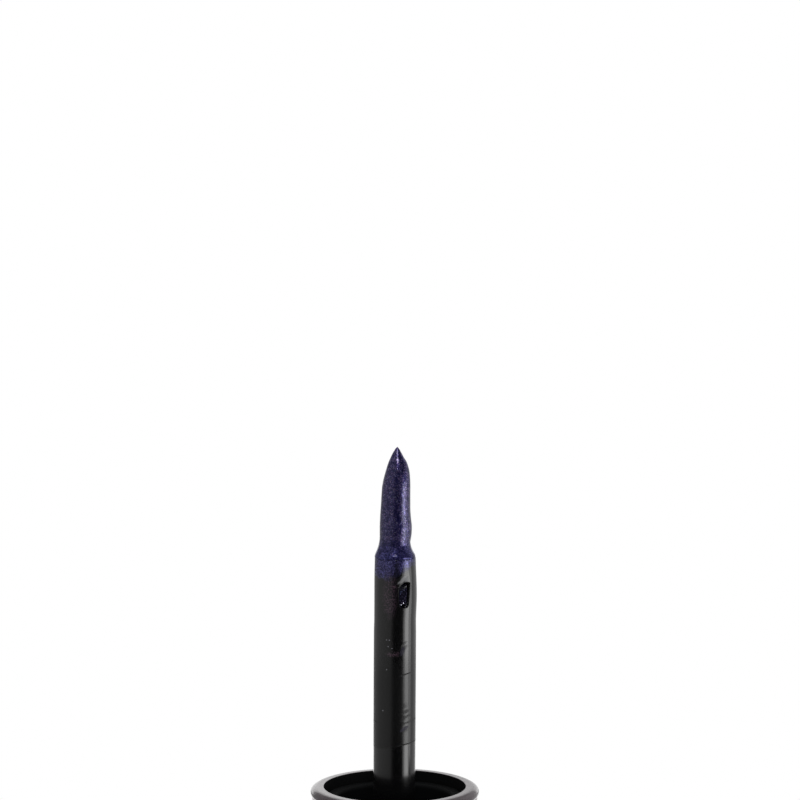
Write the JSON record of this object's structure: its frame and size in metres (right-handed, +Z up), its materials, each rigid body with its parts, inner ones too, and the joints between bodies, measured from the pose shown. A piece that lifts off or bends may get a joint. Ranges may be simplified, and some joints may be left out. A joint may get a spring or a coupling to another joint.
{
  "type": "liquid eyeliner bottle",
  "caption": "Slim round liquid eyeliner, opened: capped wand with a wet felt bullet nib standing beside its necked bottle with wiper.",
  "frame": {"origin": "middle of the cap's flat foot, on the wand's axis, on the table that the cap and the bottle both stand on", "axes": "+Z up the wand from the cap's closed end to the nib's point; +X towards the bottle; -Y is the side that the picture shows"},
  "size_m": [0.044, 0.0162, 0.0928],
  "materials": {
    "plum_lacquer": "gloss lacquer",
    "black_gloss": "gloss",
    "black_moulding": "satin moulded",
    "wet_felt": "wet, glittery",
    "pale_foam": "closed-cell foam",
    "soft_natural": "soft translucent",
    "satin_plum_metal": "satin anodised",
    "bright_steel": "bright"
  },
  "bodies": {
    "bottle": {"bottle_base": "black_moulding", "bottle_sleeve": "plum_lacquer", "inner_vial": "black_moulding", "neck_collar": "satin_plum_metal", "wiper": "soft_natural"},
    "applicator": {"cap_shell": "plum_lacquer", "cap_weight": "bright_steel", "inner_cap": "black_moulding", "seal_gasket": "pale_foam", "applicator_stem": "black_gloss", "tip_holder": "black_gloss"},
    "nib": {"felt_nib": "wet_felt"},
    "ball": {"mixing_ball": "bright_steel"}
  },
  "joints": [
    {"name": "applicator_lift", "type": "slide", "parent": "bottle", "child": "applicator", "axis": [0, 0, 1], "range_m": [0, 0.06]},
    {"name": "nib_flex", "type": "hinge", "parent": "applicator", "child": "nib", "pos_m": [0, 0, 0.0834], "axis": [0, 1, 0], "range_deg": [-12, 12], "stiffness_Nm_per_rad": 0.0005},
    {"name": "ball_travel", "type": "slide", "parent": "bottle", "child": "ball", "axis": [0, 0, 1], "range_m": [0, 0.036]}
  ]
}
